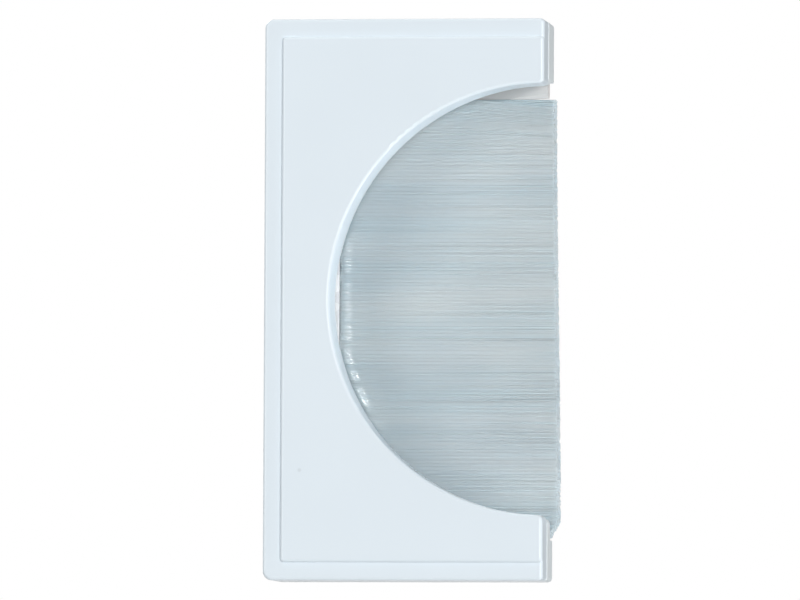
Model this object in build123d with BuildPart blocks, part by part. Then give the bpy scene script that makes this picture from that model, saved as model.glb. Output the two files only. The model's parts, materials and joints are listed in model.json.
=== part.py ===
from build123d import *
import os
from math import sin

# Half-width brush outlet module: the left half of a round cable outlet for a modular wall plate.
# Frame: the seat on the plate's grid is y = 0, the face looks along -Y, +X is the joint side
# where the second half meets this one, and +Z is up.

# The face and its opening
opening_radius = 19.1
side_margin = 5.9
end_margin = 5.8
outer_corner = 0.8
joint_corner = 0.4
lug_corner = 0.5

# Front cover
cover_depth = 3.8
cover_wall = 1.6
cover_roof = 1.5
panel_rise = 0.4
panel_inset = 1.6
panel_corner = 0.3
edge_round = 0.3
panel_round = 0.3
boss_diameter = 2.9
boss_hole_depth = 1.5
boss_overlap = 0.1
boss_from_side = 3.2
boss_from_end = 3.5
boss_from_joint = 3.9

# Carrier frame
joint_step = 0.05
bite_recess = 0.2
carrier_edge = 0.1
flange_depth = 4.2
body_depth = 2.8
body_side_inset = 0.5
body_joint_inset = 0.65
body_end_inset = 1.2
tray_wall = 1.1
locating_pin_diameter = 1.3
locating_pin_length = 1.2
rail_height = 0.8
rail_thickness = 0.9
rail_from_joint = 8.0
pocket_top_room = 0.3

# Snap arms of the carrier frame
arm_width = 8.0
arm_thickness = 0.8
arm_slot = 0.8
arm_length = 4.2
nose_rise = 0.8
nose_land = 0.4
grid_thickness = 2.0
grid_clearance = 0.2

# Clamp plate and the staked pins that hold it
clamp_thickness = 1.6
clamp_lip = 0.65
clamp_edge = 0.3
clamp_end_margin = 2.4
ear_width = 4.0
pin_diameter = 1.6
pin_from_end = 1.6
stake_diameter = 2.5
stake_height = 0.5
stake_bevel = 0.3

# Brush strip
channel_width = 3.2
channel_depth = 3.2
channel_sheet = 0.45
channel_pinch = 0.25
channel_corner = 1.1
channel_show = 0.15
wire_diameter = 0.9
bristle_thickness = 2.6
fan_length = 1.8
tuft_pitch = 0.8
tuft_groove = 0.25
tip_notch = 0.5
tip_bevel = 0.12
tip_taper = 0.3
strip_top_gap = 0.9
strip_bottom_overlap = 1.9
tip_overhang_top = 0.3
tip_overhang_bottom = 0.75
tip_raggedness = 0.12

# Clearances between pieces that fit each other
fit_clearance = 0.1
filament_clearance = 0.05
pocket_end_clearance = 0.2

# Places worked out from the sizes above
module_width = opening_radius + side_margin
half_height = opening_radius + end_margin
joint_x = module_width / 2
left_x = -module_width / 2
cover_joint_x = joint_x - joint_step
carrier_radius = opening_radius + bite_recess
cover_height = cover_depth - panel_rise

body_left_x = left_x + body_side_inset
body_joint_x = joint_x - body_joint_inset
body_half_height = half_height - body_end_inset
tray_left_x = body_left_x + tray_wall
clamp_front = clamp_thickness - body_depth

channel_mouth_x = joint_x - opening_radius + channel_show
channel_back_x = channel_mouth_x - channel_depth
brush_level = clamp_front + fit_clearance + channel_width / 2
web_rear = brush_level + bristle_thickness / 2 + fit_clearance
strip_top = opening_radius - strip_top_gap
strip_bottom = -(opening_radius + strip_bottom_overlap)
strip_length = strip_top - strip_bottom

clamp_half_height = body_half_height - clamp_end_margin
clamp_radius = opening_radius - clamp_lip
pin_z = body_half_height - pin_from_end
left_pin_x = tray_left_x + fit_clearance + ear_width / 2
joint_pin_x = body_joint_x - ear_width / 2
left_boss_x = left_x + cover_wall + boss_from_side
left_boss_z = half_height - cover_wall - boss_from_end
joint_boss_x = cover_joint_x - boss_from_joint
joint_boss_z = half_height - cover_wall - boss_diameter / 2 + boss_overlap
past = 1.0


def level(height):
    """The plane across the module at this height above the seat, seen from the front."""
    return Plane.XZ.offset(height)


def corners_at(sketch, x, y):
    """The sketch's two corners at this place, above and below the middle."""
    return sketch.vertices().filter_by(lambda v: abs(v.X - x) < 1e-6 and abs(abs(v.Y) - y) < 1e-6)


def half_round_face(left, right, top, radius, at_left=0, at_joint=0, at_bite=0):
    """A rectangle with a half-round bite, centred on the joint plane, out of its right side.

    The last three are the corner radii: at the left, at the joint side, and where the bite ends."""
    bite = (radius**2 - (joint_x - right) ** 2) ** 0.5
    with BuildSketch() as face:
        with BuildLine():
            Polyline((right, bite), (right, top), (left, top), (left, -top), (right, -top), (right, -bite))
            ThreePointArc((right, -bite), (joint_x - radius, 0), (right, bite))
        make_face()
        for x, y, corner in ((left, top, at_left), (right, top, at_joint), (right, bite, at_bite)):
            if corner > 0:
                fillet(corners_at(face, x, y), corner)
    return face.sketch


def span(left, right, bottom, top):
    """Adds a rectangle to the open sketch, given by its four sides."""
    with Locations(((left + right) / 2, (bottom + top) / 2)):
        Rectangle(right - left, top - bottom)


# Front cover: a moulded cap with a raised panel, hollow from behind, on four bosses
cover_face = half_round_face(
    left_x,
    cover_joint_x,
    half_height,
    opening_radius,
    at_left=outer_corner,
    at_joint=joint_corner,
    at_bite=lug_corner,
)
panel_face = half_round_face(
    left_x + panel_inset,
    cover_joint_x,
    half_height - panel_inset,
    opening_radius,
    at_left=panel_corner,
    at_joint=panel_corner,
    at_bite=lug_corner,
)
cavity_face = half_round_face(
    left_x + cover_wall,
    cover_joint_x - cover_wall,
    half_height - cover_wall,
    opening_radius + cover_wall,
)
boss_places = [
    (x, side * z)
    for x, z in ((left_boss_x, left_boss_z), (joint_boss_x, joint_boss_z))
    for side in (1, -1)
]

with BuildPart() as front_cover:
    with BuildSketch(level(flange_depth)):
        add(cover_face)
    extrude(amount=cover_height)
    fillet(front_cover.faces().sort_by(Axis.Y)[0].edges(), edge_round)
    with BuildSketch(level(flange_depth + cover_height - edge_round)):
        add(panel_face)
    extrude(amount=panel_rise + edge_round)
    fillet(front_cover.faces().sort_by(Axis.Y)[0].edges(), panel_round)
    with BuildSketch(level(flange_depth)):
        add(cavity_face)
    extrude(amount=cover_height - cover_roof, mode=Mode.SUBTRACT)
    with BuildSketch(level(flange_depth)):
        with Locations(*boss_places):
            Circle(boss_diameter / 2)
    extrude(amount=cover_height - cover_roof)
    with BuildSketch(level(flange_depth)):
        with Locations(*boss_places):
            Circle(locating_pin_diameter / 2 + fit_clearance)
    extrude(amount=boss_hole_depth, mode=Mode.SUBTRACT)

front_cover.part.label = "front_cover"

# Carrier frame: the rear moulding, a tray whose flange seats on the grid and whose web covers the
# brush. It carries the cover on rails and pins, the brush in its pocket and the clamp plate on four pins.
flange_face = half_round_face(
    left_x,
    joint_x,
    half_height,
    carrier_radius,
    at_left=outer_corner,
    at_joint=joint_corner,
    at_bite=lug_corner,
)
body_face = half_round_face(
    body_left_x,
    body_joint_x,
    body_half_height,
    carrier_radius,
    at_left=outer_corner,
    at_joint=joint_corner,
)
cavity_left_x = left_x + cover_wall
cavity_half_height = half_height - cover_wall
rail_x = cavity_left_x + fit_clearance
rail_z = cavity_half_height - fit_clearance
rail_end_x = cover_joint_x - rail_from_joint
pin_places = [(x, side * pin_z) for x in (left_pin_x, joint_pin_x) for side in (1, -1)]
arm_root_z = body_half_height - arm_thickness
catch_y = grid_thickness + grid_clearance

with BuildPart() as carrier_frame:
    with BuildSketch(level(0)):
        add(flange_face)
    extrude(amount=flange_depth)
    chamfer(carrier_frame.faces().sort_by(Axis.Y)[0].edges(), carrier_edge)
    with BuildSketch(level(-body_depth)):
        add(body_face)
    extrude(amount=body_depth)

    # Pocket for the bristles behind the web, and the deeper groove for their channel
    with BuildSketch(level(clamp_front)):
        span(
            channel_mouth_x,
            joint_x + past,
            strip_bottom - pocket_end_clearance,
            carrier_radius + pocket_top_room,
        )
    extrude(amount=web_rear - clamp_front, mode=Mode.SUBTRACT)
    with BuildSketch(level(clamp_front)):
        span(
            channel_back_x - fit_clearance,
            channel_mouth_x + fit_clearance,
            strip_bottom - pocket_end_clearance,
            strip_top + pocket_end_clearance,
        )
    extrude(amount=channel_width + 2 * fit_clearance, mode=Mode.SUBTRACT)

    # Seat of the clamp plate, open to the joint side and at its four ears
    with BuildSketch(level(-body_depth)):
        seat_z = clamp_half_height + fit_clearance
        span(tray_left_x, joint_x + past, -seat_z, seat_z)
        for side in (1, -1):
            low, high = sorted((side * seat_z, side * (body_half_height + past)))
            span(tray_left_x, left_pin_x + ear_width / 2 + fit_clearance, low, high)
            span(joint_pin_x - ear_width / 2 - fit_clearance, joint_x + past, low, high)
    extrude(amount=clamp_thickness, mode=Mode.SUBTRACT)

    # Pins through the clamp plate, their ends staked over it
    with BuildSketch(level(-body_depth)):
        with Locations(*pin_places):
            Circle(pin_diameter / 2)
    extrude(amount=clamp_thickness)
    with BuildSketch(level(-body_depth - stake_height)):
        with Locations(*pin_places):
            Circle(stake_diameter / 2)
    extrude(amount=stake_height)
    stake_rims = carrier_frame.edges().filter_by(GeomType.CIRCLE).group_by(Axis.Y)[-1]
    chamfer(stake_rims, stake_bevel)

    # Snap arms, one at each end, cut free of the body down to the seat
    with BuildSketch(level(-body_depth)):
        for side in (1, -1):
            low, high = sorted((side * (arm_root_z - arm_slot), side * (body_half_height + past)))
            span(-arm_width / 2 - arm_slot, arm_width / 2 + arm_slot, low, high)
    extrude(amount=body_depth, mode=Mode.SUBTRACT)
    with BuildSketch(Plane.YZ.offset(-arm_width / 2)):
        with BuildLine():
            Polyline(
                (0, arm_root_z),
                (arm_length, arm_root_z),
                (arm_length, body_half_height),
                (catch_y + nose_land, body_half_height + nose_rise),
                (catch_y, body_half_height + nose_rise),
                (catch_y, body_half_height),
                (0, body_half_height),
                close=True,
            )
        make_face()
        mirror(about=Plane.XZ)
    extrude(amount=arm_width)

    # Rails and pins that enter the cover
    with BuildSketch(level(flange_depth)):
        span(rail_x, rail_x + rail_thickness, -rail_z, rail_z)
        span(rail_x, rail_end_x, rail_z - rail_thickness, rail_z)
        span(rail_x, rail_end_x, -rail_z, rail_thickness - rail_z)
    extrude(amount=rail_height)
    with BuildSketch(level(flange_depth)):
        with Locations(*boss_places):
            Circle(locating_pin_diameter / 2)
    extrude(amount=locating_pin_length)

carrier_frame.part.label = "carrier_frame"

# Clamp plate: a flat moulding with four ears, which holds the channel down and backs the bristles
clamp_face = half_round_face(tray_left_x + fit_clearance, body_joint_x, clamp_half_height, clamp_radius)

with BuildPart() as clamp_plate:
    with BuildSketch(level(-body_depth)) as clamp_outline:
        add(clamp_face)
        for x in (left_pin_x, joint_pin_x):
            for side in (1, -1):
                low, high = sorted((side * (clamp_half_height - past), side * body_half_height))
                span(x - ear_width / 2, x + ear_width / 2, low, high)
        fillet(corners_at(clamp_outline, body_joint_x, body_half_height), joint_corner)
        with Locations(*pin_places):
            Circle(pin_diameter / 2 + fit_clearance, mode=Mode.SUBTRACT)
    extrude(amount=clamp_thickness)
    bite_edges = clamp_plate.edges().filter_by(
        lambda e: e.geom_type == GeomType.CIRCLE and abs(e.radius - clamp_radius) < 1e-6
    )
    chamfer(bite_edges, clamp_edge)

clamp_plate.part.label = "clamp_plate"

# Brush channel: steel strip folded to a U, its legs pinched in on the filaments. Its mouth just shows
# at the far left of the opening.
brush_y = -brush_level
half_channel = channel_width / 2
half_mouth = half_channel - channel_pinch

with BuildPart() as brush_channel:
    with BuildSketch(Plane.XY.offset(strip_bottom)):
        with BuildLine():
            FilletPolyline(
                (channel_mouth_x, brush_y + half_mouth),
                (channel_back_x, brush_y + half_channel),
                (channel_back_x, brush_y - half_channel),
                (channel_mouth_x, brush_y - half_mouth),
                radius=channel_corner,
            )
            offset(amount=channel_sheet, side=Side.LEFT)
        make_face()
    extrude(amount=strip_length)

brush_channel.part.label = "brush_channel"

# Core wire: the filaments are folded round it
wire_x = channel_back_x + half_channel

with BuildPart() as core_wire:
    with BuildSketch(Plane.XY.offset(strip_bottom)):
        with Locations((wire_x, brush_y)):
            Circle(wire_diameter / 2)
    extrude(amount=strip_length)

core_wire.part.label = "core_wire"

# Bristles: filaments folded round the wire and fanned out past the channel's mouth into one pack.
# It has a ridge for each tuft, and is cut ragged just past the joint side.
root_inset = channel_sheet + filament_clearance
root_half = half_channel - root_inset
mouth_half = half_mouth - root_inset
pack_half = bristle_thickness / 2
tuft_count = round(strip_length / tuft_pitch)
tuft_step = strip_length / tuft_count
fan_x = channel_mouth_x + fan_length
furthest_tip_x = joint_x + max(tip_overhang_top, tip_overhang_bottom) + tip_raggedness


def tip_x(z):
    """Where the tuft at this height is cut: further out low down, and a little ragged."""
    share = (strip_top - z) / strip_length
    overhang = tip_overhang_top + (tip_overhang_bottom - tip_overhang_top) * share
    return joint_x + overhang + tip_raggedness * sin(5 * z) * sin(2.3 * z)


# Outline of the cut, seen from the front: a blunt end for each tuft, with a notch beside it
cut_outline = [(channel_back_x, strip_bottom)]
for n in range(tuft_count):
    low_z = strip_bottom + n * tuft_step
    tip = tip_x(low_z + tuft_step / 2)
    cut_outline += [
        (tip - tip_notch, low_z),
        (tip - tip_bevel, low_z + tuft_step / 4),
        (tip, low_z + tuft_step / 2),
        (tip - tip_bevel, low_z + 3 * tuft_step / 4),
    ]
cut_outline += [(tip - tip_notch, strip_top), (channel_back_x, strip_top)]

groove_places = [
    (brush_y + side * pack_half, strip_bottom + n * tuft_step)
    for n in range(1, tuft_count)
    for side in (1, -1)
]

with BuildPart() as bristles:
    with BuildSketch(Plane.XY.offset(strip_bottom)):
        with BuildLine():
            root = FilletPolyline(
                (channel_mouth_x, brush_y + mouth_half),
                (channel_back_x + root_inset, brush_y + root_half),
                (channel_back_x + root_inset, brush_y - root_half),
                (channel_mouth_x, brush_y - mouth_half),
                radius=channel_corner - root_inset,
            )
            Polyline(
                root @ 0,
                (fan_x, brush_y + pack_half),
                (joint_x - tip_notch, brush_y + pack_half),
                (furthest_tip_x, brush_y + pack_half - tip_taper),
                (furthest_tip_x, brush_y - pack_half + tip_taper),
                (joint_x - tip_notch, brush_y - pack_half),
                (fan_x, brush_y - pack_half),
                root @ 1,
            )
        make_face()
        with Locations((wire_x, brush_y)):
            Circle(wire_diameter / 2 + filament_clearance, mode=Mode.SUBTRACT)
    extrude(amount=strip_length)
    with BuildSketch(Plane.YZ.offset(channel_mouth_x + tuft_groove)):
        with Locations(*groove_places):
            RegularPolygon(tuft_groove, 4)
    extrude(amount=furthest_tip_x - channel_mouth_x, mode=Mode.SUBTRACT)
    with BuildSketch(Plane.XZ):
        with BuildLine():
            Polyline(*cut_outline, close=True)
        make_face()
    extrude(amount=bristle_thickness + channel_width, both=True, mode=Mode.INTERSECT)

bristles.part.label = "bristles"

os.makedirs("parts", exist_ok=True)
for piece in (front_cover, carrier_frame, clamp_plate, brush_channel, core_wire, bristles):
    export_step(piece.part, f"parts/{piece.part.label}.step")
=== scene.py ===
import json
from math import radians

import bpy
from mathutils import Euler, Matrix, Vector

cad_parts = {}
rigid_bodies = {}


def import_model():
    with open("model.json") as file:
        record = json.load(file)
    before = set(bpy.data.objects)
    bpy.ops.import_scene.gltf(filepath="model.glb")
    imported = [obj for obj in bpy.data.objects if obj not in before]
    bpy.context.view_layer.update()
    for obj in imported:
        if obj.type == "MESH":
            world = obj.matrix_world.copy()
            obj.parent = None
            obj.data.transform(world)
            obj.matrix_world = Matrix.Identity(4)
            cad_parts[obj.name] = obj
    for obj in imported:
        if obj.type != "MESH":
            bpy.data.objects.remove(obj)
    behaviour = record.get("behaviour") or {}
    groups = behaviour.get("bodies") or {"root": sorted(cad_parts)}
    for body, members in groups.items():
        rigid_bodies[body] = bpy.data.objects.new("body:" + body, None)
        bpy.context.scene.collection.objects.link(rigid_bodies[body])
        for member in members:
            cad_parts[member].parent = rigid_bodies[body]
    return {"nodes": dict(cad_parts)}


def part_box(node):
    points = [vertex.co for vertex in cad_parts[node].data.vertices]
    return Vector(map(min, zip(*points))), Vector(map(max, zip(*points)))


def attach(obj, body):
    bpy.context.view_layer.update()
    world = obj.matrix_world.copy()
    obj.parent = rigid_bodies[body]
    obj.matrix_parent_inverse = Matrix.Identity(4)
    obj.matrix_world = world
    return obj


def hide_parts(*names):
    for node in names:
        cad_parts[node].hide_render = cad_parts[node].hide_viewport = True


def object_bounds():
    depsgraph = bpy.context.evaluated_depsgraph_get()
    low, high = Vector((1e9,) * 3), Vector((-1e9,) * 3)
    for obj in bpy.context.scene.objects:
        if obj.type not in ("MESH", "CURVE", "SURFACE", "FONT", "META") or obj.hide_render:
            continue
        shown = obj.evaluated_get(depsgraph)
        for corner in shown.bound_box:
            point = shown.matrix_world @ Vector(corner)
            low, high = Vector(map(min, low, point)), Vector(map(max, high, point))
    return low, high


# Half-width brush outlet module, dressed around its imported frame. Lengths are in metres, the face
# looks along -Y, +X is the joint side and +Z is up.
for leftover in list(bpy.data.objects):
    bpy.data.objects.remove(leftover)
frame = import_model()
cad_box = [list(corner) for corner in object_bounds()]
nodes = frame["nodes"]
mm = 0.001


# Carrier frame: the rear moulding of white polycarbonate, from a spark-eroded tool. It carries the
# brush in its pocket, and its snap arms and four staked pins are moulded in one with it.
def add_node(tree, kind, inputs=(), **settings):
    """A new node. Each of its inputs is a value to set, a socket to link from, or None to leave."""
    node = tree.nodes.new(kind)
    for setting, value in settings.items():
        setattr(node, setting, value)
    pairs = inputs.items() if isinstance(inputs, dict) else enumerate(inputs)
    for place, value in pairs:
        if isinstance(value, bpy.types.NodeSocket):
            tree.links.new(value, node.inputs[place])
        elif value is not None:
            node.inputs[place].default_value = value
    return node


def calc(tree, operation, *values):
    """The result of one Math node."""
    return add_node(tree, "ShaderNodeMath", values, operation=operation).outputs[0]


def new_finish(name, **sockets):
    """A material with one Principled shader. Constant values go straight onto its sockets."""
    finish = bpy.data.materials.new(name)
    finish.use_nodes = True
    shader = finish.node_tree.nodes["Principled BSDF"]
    for socket, value in sockets.items():
        shader.inputs[socket.replace("_", " ")].default_value = value
    return finish, finish.node_tree, shader


def new_effect(name, inputs, outputs):
    """An empty shader group with named inputs, each with its usual value, and named outputs."""
    group = bpy.data.node_groups.new(name, "ShaderNodeTree")
    for label, usual in inputs.items():
        kind = "NodeSocketFloat" if isinstance(usual, float) else "NodeSocketColor"
        socket = group.interface.new_socket(name=label, in_out="INPUT", socket_type=kind)
        socket.default_value = usual
    for label, kind in outputs.items():
        group.interface.new_socket(name=label, in_out="OUTPUT", socket_type=kind)
    given = group.nodes.new("NodeGroupInput").outputs
    result = group.nodes.new("NodeGroupOutput")
    return group, given, result


def spread(tree, value, low=0.0, high=1.0, at_low=0.0, at_high=1.0, **settings):
    """A value carried from one range onto another, and held at its ends."""
    ranges = {"From Min": low, "From Max": high, "To Min": at_low, "To Max": at_high}
    return add_node(tree, "ShaderNodeMapRange", {"Value": value, **ranges}, **settings).outputs[0]


def add_bump(tree, shader, height, depth, strength):
    """Fine relief on a finish, from a height that an effect or a pattern gives."""
    relief = {"Strength": strength, "Distance": depth, "Height": height}
    bump = add_node(tree, "ShaderNodeBump", relief)
    tree.links.new(bump.outputs[0], shader.inputs["Normal"])


def moulding_effect():
    """Tool grain, slow flow marks and a few dark specks, as moulded plastic has."""
    flow_fineness = 70.0
    flow_contrast = 0.05
    speck_fineness = 330.0
    clean_share = 0.94
    speck_core = 0.03
    speck_rim = 0.09
    speck_darkness = 0.35
    group, given, result = new_effect(
        "moulded_plastic",
        {"Colour": (0.8, 0.8, 0.8, 1.0), "Grain size": 0.3 * mm, "Specks": 0.5},
        {"Colour": "NodeSocketColor", "Height": "NodeSocketFloat", "Haze": "NodeSocketFloat"},
    )
    place = add_node(group, "ShaderNodeTexCoord").outputs["Object"]
    fineness = calc(group, "DIVIDE", 1.0, given["Grain size"])
    grain = add_node(
        group, "ShaderNodeTexNoise", {"Vector": place, "Scale": fineness, "Detail": 3.0}
    )
    flow = add_node(
        group, "ShaderNodeTexNoise", {"Vector": place, "Scale": flow_fineness, "Detail": 2.0}
    )
    cells = add_node(
        group, "ShaderNodeTexVoronoi", {"Vector": place, "Scale": speck_fineness, "Randomness": 1.0}
    )
    chance = add_node(group, "ShaderNodeSeparateColor", [cells.outputs["Color"]]).outputs[0]
    chosen = calc(group, "GREATER_THAN", chance, clean_share)
    dot = spread(group, cells.outputs["Distance"], speck_core, speck_rim, 1.0, 0.0)
    speck = calc(group, "MULTIPLY", calc(group, "MULTIPLY", chosen, dot), given["Specks"])
    cloud = calc(group, "MULTIPLY_ADD", flow.outputs[0], flow_contrast, 1 - flow_contrast / 2)
    shade = calc(group, "SUBTRACT", cloud, calc(group, "MULTIPLY", speck, speck_darkness))
    tinted = add_node(
        group,
        "ShaderNodeVectorMath",
        [given["Colour"], None, None, shade],
        operation="SCALE",
    ).outputs[0]
    group.links.new(tinted, result.inputs["Colour"])
    group.links.new(grain.outputs[0], result.inputs["Height"])
    group.links.new(flow.outputs[0], result.inputs["Haze"])
    return group


moulding = moulding_effect()


def white_plastic(name, colour, roughness, grain_size, grain_depth, specks):
    """A white moulding. Its flow marks move the roughness between the two values of a pair."""
    least_haze, most_haze = 0.3, 0.7
    finish, tree, shader = new_finish(name, IOR=1.49)
    effect = add_node(
        tree,
        "ShaderNodeGroup",
        {"Colour": colour, "Grain size": grain_size, "Specks": specks},
        node_tree=moulding,
    )
    haze = spread(tree, effect.outputs["Haze"], least_haze, most_haze, *roughness)
    tree.links.new(effect.outputs["Colour"], shader.inputs["Base Color"])
    tree.links.new(haze, shader.inputs["Roughness"])
    add_bump(tree, shader, effect.outputs["Height"], depth=grain_depth, strength=0.6)
    return finish


def paint(node_name, finish):
    """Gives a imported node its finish."""
    nodes[node_name].material_slots[0].material = finish


carrier_white = white_plastic(
    "carrier_white",
    colour=(0.75, 0.805, 0.83, 1.0),
    roughness=(0.34, 0.44),
    grain_size=0.12 * mm,
    grain_depth=0.006 * mm,
    specks=0.4,
)
paint("carrier_frame", carrier_white)


# Core wire: bright drawn steel, on which the filaments are folded and gripped before the channel
# is pressed shut. Fine die lines run along it.
def mix_colours(tree, factor, first, second):
    """A colour between two others. Sockets 6 and 7 are the node's colour inputs."""
    sockets = {"Factor": factor, 6: first, 7: second}
    return add_node(tree, "ShaderNodeMix", sockets, data_type="RGBA").outputs[2]


def drawing_effect():
    """Fine lines along one axis, as on drawn wire and extruded filament."""
    broad_share = 0.16
    group, given, result = new_effect(
        "drawn_lines",
        {"Along x": 1.0, "Along z": 0.02, "Fineness": 9000.0},
        {"Height": "NodeSocketFloat", "Streak": "NodeSocketFloat"},
    )
    place = add_node(group, "ShaderNodeTexCoord").outputs["Object"]
    squeeze = add_node(group, "ShaderNodeCombineXYZ", [given["Along x"], 1.0, given["Along z"]])
    squeezed = add_node(
        group, "ShaderNodeVectorMath", [place, squeeze.outputs[0]], operation="MULTIPLY"
    ).outputs[0]
    fine = add_node(
        group, "ShaderNodeTexNoise", {"Vector": squeezed, "Scale": given["Fineness"], "Detail": 2.0}
    )
    broad_scale = calc(group, "MULTIPLY", given["Fineness"], broad_share)
    broad = add_node(
        group, "ShaderNodeTexNoise", {"Vector": squeezed, "Scale": broad_scale, "Detail": 1.0}
    )
    group.links.new(fine.outputs[0], result.inputs["Height"])
    group.links.new(broad.outputs[0], result.inputs["Streak"])
    return group


drawing = drawing_effect()
wire_steel, tree, shader = new_finish("wire_steel", Metallic=1.0)
die_lines = add_node(tree, "ShaderNodeGroup", node_tree=drawing).outputs
streak = die_lines["Streak"]
colour = mix_colours(tree, streak, (0.50, 0.50, 0.51, 1), (0.60, 0.60, 0.61, 1))
tree.links.new(colour, shader.inputs["Base Color"])
tree.links.new(spread(tree, streak, at_low=0.2, at_high=0.4), shader.inputs["Roughness"])
add_bump(tree, shader, die_lines["Height"], depth=0.01 * mm, strength=0.5)
paint("core_wire", wire_steel)


# Brush channel: 0.45 mm zinc-plated steel strip, folded to a U round the filaments. The zinc shows
# a faint crystal pattern and dull patches.
crystal_fineness = 900.0
dull_fineness = 250.0
channel_zinc, tree, shader = new_finish("channel_zinc", Metallic=1.0)
place = add_node(tree, "ShaderNodeTexCoord").outputs["Object"]
crystals = add_node(tree, "ShaderNodeTexVoronoi", {"Vector": place, "Scale": crystal_fineness})
crystal = add_node(tree, "ShaderNodeSeparateColor", [crystals.outputs["Color"]]).outputs[0]
dull = add_node(
    tree, "ShaderNodeTexNoise", {"Vector": place, "Scale": dull_fineness, "Detail": 4.0}
).outputs[0]
colour = mix_colours(tree, crystal, (0.55, 0.56, 0.58, 1), (0.68, 0.69, 0.70, 1))
tree.links.new(colour, shader.inputs["Base Color"])
tree.links.new(spread(tree, dull, at_low=0.22, at_high=0.5), shader.inputs["Roughness"])
add_bump(tree, shader, dull, depth=0.01 * mm, strength=0.3)
paint("brush_channel", channel_zinc)


# Bristles: clear nylon monofilament, packed in even rows and gripped over the wire. They leave the
# channel's mouth pinched, bulge in uneven tufts past the edge of the opening and run straight from
# there on. The uppermost droop a little towards their tips. All are cut just past the joint side.
filament_diameter = 0.14 * mm
filament_sides = 5
filament_pitch = 0.88 * filament_diameter
bundle_rows = 7
unevenness = 0.1
root_depth = 1.2 * mm

# How thick the pack stands, in shares of its full thickness, and how it bulges past the edge
pinched_share = 0.88
relaxed_share = 0.76
fan_out = 0.35 * mm
most_bulge = 0.24
bulge_rise = 0.22 * mm
bulge_fall = 1.0 * mm
bulge_setback = 0.15 * mm
bulge_middle = -2.8 * mm
bulge_reach = 10.5 * mm
bulge_core_share = 0.6
tuft_fineness = 650.0
tuft_valley, tuft_crest = 0.4, 0.52

# The cut end: how far it stands past the joint side, its slant over the layers and its raggedness
top_overhang = 0.3 * mm
bottom_overhang = 0.75 * mm
fringe_height = 1.6 * mm
cut_slant = 0.12 * mm
cut_raggedness = 0.16 * mm
full_slant_layer = -0.6

# How filaments leave their straight line. Layers run from -1 at the pack's front to 1 at its back
stray = 0.03 * mm
waviness = 0.14 * mm
wave_fineness = 260.0
layer_shift = 1.0 * mm
droop = 0.7 * mm
droop_length = 8.0 * mm
droop_height = 7.0 * mm
full_droop_layer, no_droop_layer = -0.7, 0.1

# A filament's stations: its root is the first, and the others stand at the places named here
edge_station = 1.0
crest_station = 2.0
fall_station = 6.0
tip_station = 8.0
station_count = 9

# Each random value is drawn with a seed of its own, added to the bundle's
out_of_line_seed = 31
out_of_row_seed = 37
own_value_seeds = {"lot": 11, "cut": 23}

# The frame's own places that the filaments run between. The opening is round about the middle of the
# joint side.
brush_low, brush_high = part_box("bristles")
opening_radius = 19.1 * mm
joint_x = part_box("carrier_frame")[1].x
mouth_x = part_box("brush_channel")[1].x


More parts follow.
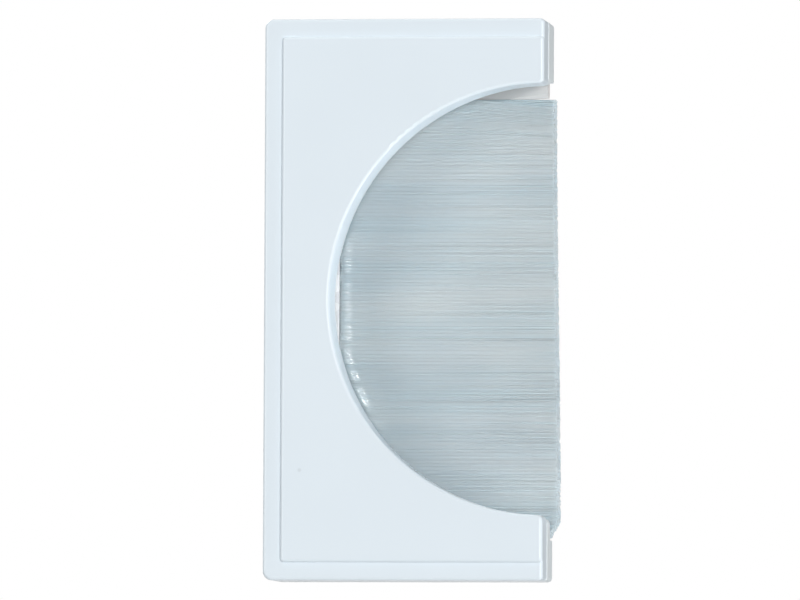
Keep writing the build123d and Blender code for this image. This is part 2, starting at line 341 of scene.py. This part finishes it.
def brush_tree():
    """Points over the pack's section, each the start of a filament bent and cut by its place."""
    tree = bpy.data.node_groups.new("brush_pack", "GeometryNodeTree")
    sizes = {
        "Filament diameter": filament_diameter,
        "Filament pitch": filament_pitch,
        "Lowest": brush_low.z,
        "Highest": brush_high.z,
        "Front": brush_low.y,
        "Back": brush_high.y,
        "Root": mouth_x - root_depth,
        "Mouth": mouth_x,
        "Joint": joint_x,
        "Opening radius": opening_radius,
        "Bundle front": -1.0,
        "Bundle back": 1.0,
        "Seed": 4.0,
    }
    sockets = {}
    interface = tree.interface
    for label, usual in sizes.items():
        socket = interface.new_socket(name=label, in_out="INPUT", socket_type="NodeSocketFloat")
        socket.default_value = usual
        sockets[label] = socket.identifier
    socket = interface.new_socket(name="Finish", in_out="INPUT", socket_type="NodeSocketMaterial")
    sockets["Finish"] = socket.identifier
    interface.new_socket(name="Geometry", in_out="OUTPUT", socket_type="NodeSocketGeometry")
    given = tree.nodes.new("NodeGroupInput").outputs

    def math(operation, *values):
        """The result of one Math node in this tree."""
        return calc(tree, operation, *values)

    def between(value, low, high, at_low=0.0, at_high=1.0):
        """A smooth step of a value from one result to another."""
        return spread(tree, value, low, high, at_low, at_high, interpolation_type="SMOOTHSTEP")

    def random(seed, least=0.0, most=1.0):
        """A number for each filament, from the least to the most."""
        return add_node(
            tree,
            "FunctionNodeRandomValue",
            {2: least, 3: most, "Seed": math("ADD", given["Seed"], seed)},
            data_type="FLOAT",
        ).outputs[1]

    # The section of one bundle: rows of points a pitch apart, each row set against the gaps of the
    # last, and every point a little out of line
    diameter = given["Filament diameter"]
    length = math("SUBTRACT", math("SUBTRACT", given["Highest"], given["Lowest"]), diameter)
    thickness = math("SUBTRACT", math("SUBTRACT", given["Back"], given["Front"]), diameter)
    half_thickness = math("MULTIPLY", thickness, 0.5)
    bundle_layers = math("SUBTRACT", given["Bundle back"], given["Bundle front"])
    bundle_share = math("MULTIPLY", bundle_layers, 0.5)
    row_pitch = math("DIVIDE", math("MULTIPLY", bundle_share, thickness), bundle_rows)
    pitch = given["Filament pitch"]
    column_count = math("FLOOR", math("DIVIDE", length, pitch))
    section = add_node(
        tree,
        "GeometryNodeMeshGrid",
        {
            "Size X": math("MULTIPLY", math("SUBTRACT", column_count, 1.0), pitch),
            "Size Y": math("MULTIPLY", row_pitch, bundle_rows - 1.0),
            "Vertices X": column_count,
            "Vertices Y": bundle_rows,
        },
    )

    def split_position():
        """The three shares of where a point stands."""
        position = add_node(tree, "GeometryNodeInputPosition").outputs[0]
        return add_node(tree, "ShaderNodeSeparateXYZ", [position]).outputs

    # Each point stands at its height and layer, and starts one straight filament with its stations
    spot = split_position()
    row = math("ROUND", math("DIVIDE", spot[1], row_pitch))
    odd_or_even = math("SUBTRACT", math("PINGPONG", row, 1.0), 0.5)
    set_over = math("MULTIPLY", odd_or_even, math("MULTIPLY", pitch, 0.5))
    out_of_line = math("MULTIPLY", diameter, random(out_of_line_seed, -unevenness, unevenness))
    middle_z = math("MULTIPLY", math("ADD", given["Highest"], given["Lowest"]), 0.5)
    height = math("ADD", math("ADD", spot[0], middle_z), math("ADD", set_over, out_of_line))
    middle_layer = math("MULTIPLY", math("ADD", given["Bundle front"], given["Bundle back"]), 0.5)
    out_of_row = math("MULTIPLY", diameter, random(out_of_row_seed, -unevenness, unevenness))
    own_layer = math("DIVIDE", math("ADD", spot[1], out_of_row), half_thickness)
    layer = math("MAXIMUM", math("MINIMUM", math("ADD", own_layer, middle_layer), 1.0), -1.0)
    standing = add_node(tree, "ShaderNodeCombineXYZ", [0.0, layer, height]).outputs[0]
    placed = add_node(
        tree, "GeometryNodeSetPosition", {"Geometry": section.outputs[0], "Position": standing}
    )
    marked = placed.outputs[0]
    for label, seed in own_value_seeds.items():
        marked = add_node(
            tree,
            "GeometryNodeStoreNamedAttribute",
            {"Geometry": marked, "Name": label, "Value": random(seed)},
            data_type="FLOAT",
            domain="POINT",
        ).outputs[0]
    straight = add_node(
        tree,
        "GeometryNodeCurvePrimitiveLine",
        {"Start": (0.0, 0.0, 0.0), "End": (tip_station, 0.0, 0.0)},
    )
    stations = add_node(
        tree, "GeometryNodeResampleCurve", {"Curve": straight.outputs[0], "Count": station_count}
    )
    filaments = add_node(
        tree, "GeometryNodeInstanceOnPoints", {"Points": marked, "Instance": stations.outputs[0]}
    )
    separate = add_node(tree, "GeometryNodeRealizeInstances", [filaments.outputs[0]])

    def own_value(label):
        """A value that each filament was given at its start."""
        kind = "GeometryNodeInputNamedAttribute"
        return add_node(tree, kind, {"Name": label}, data_type="FLOAT").outputs[0]

    # Where each station lies along the filament: most of them near the edge of the opening
    station, layer, height = split_position()
    lot = own_value("lot")
    cut = own_value("cut")
    radius_squared = math("POWER", given["Opening radius"], 2.0)
    chord = math("SUBTRACT", radius_squared, math("POWER", height, 2.0))
    wall_x = math("SUBTRACT", given["Joint"], math("SQRT", math("MAXIMUM", chord, 0.0)))
    behind_wall = math("SUBTRACT", wall_x, bulge_setback)
    edge_x = math("MAXIMUM", behind_wall, math("ADD", given["Mouth"], bulge_rise))
    share_down = between(height, given["Highest"], given["Lowest"])
    overhang = math("MULTIPLY_ADD", share_down, bottom_overhang - top_overhang, top_overhang)
    fringe_top = math("ADD", given["Lowest"], fringe_height)
    fringe = between(height, given["Lowest"], fringe_top, -bottom_overhang, 0.0)
    slant = between(layer, 1.0, full_slant_layer, 0.0, -cut_slant)
    ragged = math("MULTIPLY", cut, -cut_raggedness)
    trim = math("ADD", math("ADD", overhang, fringe), math("ADD", slant, ragged))
    tip_x = math("ADD", given["Joint"], trim)
    before_edge = math("SUBTRACT", edge_x, bulge_rise)
    crest_x = math("MINIMUM", edge_x, math("SUBTRACT", tip_x, bulge_rise))
    short_of_tip = math("SUBTRACT", tip_x, 0.5 * bulge_rise)
    after_edge = math("MINIMUM", math("ADD", edge_x, bulge_fall), short_of_tip)

    def run(first, last, start_x, end_x):
        """How far a station between two others lies from one place towards the next."""
        return spread(tree, station, first, last, 0.0, math("SUBTRACT", end_x, start_x))

    to_edge = run(0.0, edge_station, given["Root"], before_edge)
    up_crest = run(edge_station, crest_station, before_edge, crest_x)
    down_crest = run(crest_station, fall_station, crest_x, after_edge)
    to_tip = run(fall_station, tip_station, after_edge, tip_x)
    past_edge = math("ADD", math("ADD", up_crest, down_crest), to_tip)
    x = math("ADD", given["Root"], math("ADD", to_edge, past_edge))

    # How thick the pack is there: pinched in the channel, bulging past the edge in uneven tufts,
    # relaxed beyond it
    tuft_spot = add_node(tree, "ShaderNodeCombineXYZ", [0.0, 0.0, height]).outputs[0]
    tufts = add_node(
        tree, "ShaderNodeTexNoise", {"Vector": tuft_spot, "Scale": tuft_fineness, "Detail": 1.0}
    ).outputs[0]
    off_middle = math("ABSOLUTE", math("SUBTRACT", height, bulge_middle))
    reach = between(off_middle, bulge_reach, bulge_core_share * bulge_reach)
    bulge = math("MULTIPLY", between(tufts, tuft_valley, tuft_crest, 0.0, most_bulge), reach)
    rising = between(x, before_edge, crest_x)
    falling = between(x, crest_x, after_edge, 1.0, 0.0)
    crest = math("MULTIPLY", rising, falling)
    full = math("MULTIPLY_ADD", bulge, crest, relaxed_share)
    fan = between(x, given["Mouth"], math("ADD", given["Mouth"], fan_out), pinched_share, 1.0)
    middle_y = math("MULTIPLY", math("ADD", given["Back"], given["Front"]), 0.5)
    half = math("MULTIPLY", half_thickness, math("MULTIPLY", fan, full))

    # Neighbours wander together, and each filament strays a little by itself towards its tip
    free_share = between(x, given["Mouth"], given["Joint"])
    layer_y = math("MULTIPLY", layer, layer_shift)
    lane = add_node(tree, "ShaderNodeCombineXYZ", [x, layer_y, height]).outputs[0]
    drift = add_node(
        tree, "ShaderNodeTexNoise", {"Vector": lane, "Scale": wave_fineness, "Detail": 1.0}
    ).outputs["Fac"]
    free_wave = math("MULTIPLY", free_share, 2 * waviness)
    wander = math("MULTIPLY", math("SUBTRACT", drift, 0.5), free_wave)
    astray = math("MULTIPLY", math("SUBTRACT", lot, 0.5), math("MULTIPLY", free_share, 2 * stray))

    # The uppermost filaments in the front layers droop towards their tips
    near_top = between(height, math("SUBTRACT", given["Highest"], droop_height), given["Highest"])
    bend_start = math("SUBTRACT", given["Joint"], droop_length)
    in_front = between(layer, full_droop_layer, no_droop_layer, 1.0, 0.0)
    bend = math("MULTIPLY", between(x, bend_start, given["Joint"]), -droop)
    sag = math("MULTIPLY", math("MULTIPLY", near_top, in_front), bend)
    free_z = math("ADD", math("ADD", height, sag), math("ADD", wander, astray))
    inside = math("MULTIPLY", diameter, 0.5)
    z = add_node(
        tree,
        "ShaderNodeClamp",
        [free_z, math("ADD", given["Lowest"], inside), math("SUBTRACT", given["Highest"], inside)],
    ).outputs[0]
    y = math("MULTIPLY_ADD", layer, half, middle_y)
    bent = add_node(
        tree,
        "GeometryNodeSetPosition",
        {
            "Geometry": separate.outputs[0],
            "Position": add_node(tree, "ShaderNodeCombineXYZ", [x, y, z]).outputs[0],
        },
    )
    ring = add_node(
        tree,
        "GeometryNodeCurvePrimitiveCircle",
        {"Resolution": filament_sides, "Radius": inside},
        mode="RADIUS",
    )
    tubes = add_node(
        tree,
        "GeometryNodeCurveToMesh",
        {"Curve": bent.outputs[0], "Profile Curve": ring.outputs[0], "Fill Caps": True},
    )
    smooth = add_node(tree, "GeometryNodeSetShadeSmooth", {"Geometry": tubes.outputs[0]})
    without_cut = add_node(
        tree, "GeometryNodeRemoveAttribute", {"Geometry": smooth.outputs[0], "Name": "cut"}
    )
    real = add_node(tree, "GeometryNodeRealizeInstances", [without_cut.outputs[0]])
    finished = add_node(
        tree, "GeometryNodeSetMaterial", {"Geometry": real.outputs[0], "Material": given["Finish"]}
    )
    add_node(tree, "NodeGroupOutput", [finished.outputs[0]])
    return tree, sockets, sizes


# The nylon's tone: each filament's own lot and lines, milky tufts, and denser and thinner patches
lot_weight = 0.6
streak_low, streak_high = 0.35, 0.65
clear_tone, full_tone = (0.63, 0.81, 0.92, 1), (0.685, 0.845, 0.945, 1)
milky_tone = (0.725, 0.87, 0.96, 1)
thin_patch, dense_patch = 0.92, 1.05


def nylon_streak(tree, along_x, fineness):
    """Slow streaks that run along the filaments."""
    sizes = {"Along x": along_x, "Along z": 1.0, "Fineness": fineness}
    return add_node(tree, "ShaderNodeGroup", sizes, node_tree=drawing).outputs["Streak"]


clear_nylon, tree, shader = new_finish(
    "clear_nylon",
    IOR=1.53,
    Roughness=0.17,
    Coat_Weight=1.0,
    Coat_Roughness=0.12,
    Subsurface_Weight=0.9,
    Subsurface_Scale=0.25 * mm,
    Subsurface_Radius=(1.0, 1.0, 1.0),
)
lot = add_node(tree, "ShaderNodeAttribute", attribute_name="lot").outputs["Fac"]
lines = nylon_streak(tree, along_x=0.03, fineness=5000.0)
line_share = calc(tree, "MULTIPLY", lines, 1 - lot_weight)
filament_tone = mix_colours(
    tree, calc(tree, "MULTIPLY_ADD", lot, lot_weight, line_share), clear_tone, full_tone
)
tufts = nylon_streak(tree, along_x=0.12, fineness=2600.0)
tufted = mix_colours(tree, spread(tree, tufts, streak_low, streak_high), filament_tone, milky_tone)
patches = nylon_streak(tree, along_x=0.5, fineness=1000.0)
density = spread(tree, patches, streak_low, streak_high, thin_patch, dense_patch)
shaded = add_node(tree, "ShaderNodeVectorMath", [tufted, None, None, density], operation="SCALE")
tree.links.new(shaded.outputs[0], shader.inputs["Base Color"])


def new_object(name, data):
    """An object of the scene for a mesh, a lamp or a lens."""
    thing = bpy.data.objects.new(name, data)
    bpy.context.scene.collection.objects.link(thing)
    return thing


# Three bundles from the front layer to the back one, each with its own seed
brush_nodes, brush_sockets, brush_sizes = brush_tree()
bundles = {
    "front_bristles": (-1.0, -1 / 3),
    "middle_bristles": (-1 / 3, 1 / 3),
    "rear_bristles": (1 / 3, 1.0),
}
for seed, (name, (bundle_front, bundle_back)) in enumerate(bundles.items(), start=4):
    bristles = new_object(name, bpy.data.meshes.new(name))
    growth = bristles.modifiers.new("brush_pack", "NODES")
    growth.node_group = brush_nodes
    own_sizes = {"Bundle front": bundle_front, "Bundle back": bundle_back, "Seed": float(seed)}
    for label, size in (brush_sizes | own_sizes).items():
        growth[brush_sockets[label]] = size
    growth[brush_sockets["Finish"]] = clear_nylon
    depsgraph = bpy.context.evaluated_depsgraph_get()
    grown = bpy.data.meshes.new_from_object(bristles.evaluated_get(depsgraph))
    bristles.modifiers.remove(growth)
    bristles.data = grown
    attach(bristles, "root")
    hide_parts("bristles")


# Clamp plate: a flat white moulding laid over the brush from behind, held by the carrier's pins,
# whose ends are flattened over it with a hot tool.
# Its colour is greyer and warmer than the plate's own white. This is painted shade for the recess
# above the brush, where the plate shows.
clamp_white_painted_shade = white_plastic(
    "clamp_white_painted_shade",
    colour=(0.76, 0.755, 0.745, 1.0),
    roughness=(0.38, 0.5),
    grain_size=0.16 * mm,
    grain_depth=0.01 * mm,
    specks=0.4,
)
paint("clamp_plate", clamp_white_painted_shade)


# Front cover: glossy white cap with a raised panel, from a polished tool. It shows only a slight
# waviness in its reflections and a few specks.
cover_white = white_plastic(
    "cover_white",
    colour=(0.745, 0.823, 0.880, 1.0),
    roughness=(0.29, 0.34),
    grain_size=1.4 * mm,
    grain_depth=0.004 * mm,
    specks=0.5,
)
paint("front_cover", cover_white)


# The studio: a matt floor below the module, which keeps its shadow, soft lamps around it, a dark
# card that only gloss sees, and a plain white surrounding.
def seen_directly(tree):
    """1 for rays from the camera and for those that gloss or glass sends on, else 0."""
    path = add_node(tree, "ShaderNodeLightPath").outputs
    seen = calc(tree, "MAXIMUM", path["Is Camera Ray"], path["Is Glossy Ray"])
    return calc(tree, "MAXIMUM", seen, path["Is Transmission Ray"])


# The floor is mid grey for the light that it throws back, and looks paler by its paleness
floor_size = 3.0
floor_drop = 520 * mm
floor_z = cad_box[0][2] - floor_drop
floor_paleness = 0.62


def flat_sheet(name, half_size, height=0.0):
    """A square sheet that lies level."""
    corners = ((-1, -1), (1, -1), (1, 1), (-1, 1))
    mesh = bpy.data.meshes.new(name)
    spots = [(x * half_size, y * half_size, height) for x, y in corners]
    mesh.from_pydata(spots, [], [(0, 1, 2, 3)])
    return new_object(name, mesh)


def mottled(tree, shader, fineness, detail, dark, light):
    """A grey finish with a faint mottle."""
    mottle = add_node(tree, "ShaderNodeTexNoise", {"Scale": fineness, "Detail": detail})
    tone = mix_colours(tree, mottle.outputs[0], (dark, dark, dark, 1), (light, light, light, 1))
    tree.links.new(tone, shader.inputs["Base Color"])


floor = flat_sheet("floor", floor_size / 2, floor_z)
floor_finish, tree, shader = new_finish("matt_floor", Roughness=0.9)
mottled(tree, shader, fineness=40.0, detail=2.0, dark=0.42, light=0.48)
shader.inputs["Emission Color"].default_value = (1.0, 1.0, 1.0, 1.0)
floor_glow = calc(tree, "MULTIPLY", seen_directly(tree), floor_paleness)
tree.links.new(floor_glow, shader.inputs["Emission Strength"])
floor.data.materials.append(floor_finish)

lamp_distance = 700 * mm
card_distance = 600 * mm
card_half = 350 * mm


def stand_at(thing, azimuth, elevation, distance):
    """Stands a thing, turned to the module. Azimuth 0 is straight ahead, 90 the joint side."""
    spot = Vector((0, -distance, 0))
    spot.rotate(Euler((radians(-elevation), 0, 0)))
    spot.rotate(Euler((0, 0, radians(azimuth))))
    thing.location = spot
    thing.rotation_euler = (-spot).to_track_quat("-Z", "Y").to_euler()


def soft_lamp(name, azimuth, elevation, width, height, watts):
    """A rectangular area lamp that faces the module."""
    lamp = bpy.data.lights.new(name, "AREA")
    lamp.shape = "RECTANGLE"
    lamp.size = width
    lamp.size_y = height
    lamp.energy = watts
    stand = new_object(name, lamp)
    stand_at(stand, azimuth, elevation, lamp_distance)
    stand.visible_camera = False


soft_lamp("key_lamp", azimuth=26, elevation=2, width=0.05, height=0.24, watts=2.5)
soft_lamp("side_lamp", azimuth=92, elevation=-32, width=0.3, height=0.25, watts=2.7)
soft_lamp("left_lamp", azimuth=-40, elevation=8, width=0.3, height=0.4, watts=1.8)
soft_lamp("top_lamp", azimuth=0, elevation=90, width=0.3, height=0.2, watts=1.2)
soft_lamp("rear_lamp", azimuth=212, elevation=30, width=0.3, height=0.3, watts=2.2)

card = flat_sheet("dark_card", card_half)
stand_at(card, azimuth=150, elevation=0, distance=card_distance)
card.visible_camera = False
card.visible_diffuse = False
card.visible_transmission = False
card.visible_shadow = False
felt, tree, shader = new_finish("dark_felt", Roughness=1.0)
mottled(tree, shader, fineness=300.0, detail=3.0, dark=0.05, light=0.08)
card.data.materials.append(felt)

# The surrounding shows plain white, and lights the module by the fill strength only
fill_strength = 0.23
world = bpy.data.worlds.new("studio")
bpy.context.scene.world = world
world.use_nodes = True
tree = world.node_tree
tree.nodes.clear()
fill = add_node(tree, "ShaderNodeBackground", [(1.0, 1.0, 1.0, 1.0), fill_strength]).outputs[0]
white = add_node(tree, "ShaderNodeBackground", [(1.0, 1.0, 1.0, 1.0), 1.0]).outputs[0]
either = add_node(tree, "ShaderNodeMixShader", [seen_directly(tree), fill, white])
add_node(tree, "ShaderNodeOutputWorld", [either.outputs[0]])

# The camera stands a little to the right of the module and below its middle, and aims at its face.
# Its scale is how many pixels of the picture a metre takes there, and its roll is in degrees.
picture_width = 800
pixels_per_metre = 11300
camera_distance = 900 * mm
camera_right = 108 * mm
camera_below = 45 * mm
camera_roll = 0.25
aim_left = 0.28 * mm
aim_below = 0.1 * mm
face_y = cad_box[0][1]
aim = Vector((-aim_left, face_y, -aim_below))
camera_place = Vector((camera_right, face_y - camera_distance, -camera_below))
lens = bpy.data.cameras.new("camera")
lens.sensor_width = 36
lens.lens = lens.sensor_width * (aim - camera_place).length * pixels_per_metre / picture_width
camera = new_object("camera", lens)
camera.location = camera_place
camera.rotation_euler = (aim - camera_place).to_track_quat("-Z", "Y").to_euler()
camera.rotation_euler.rotate_axis("Z", radians(camera_roll))
bpy.context.scene.camera = camera
bpy.context.scene.view_settings.view_transform = "Standard"
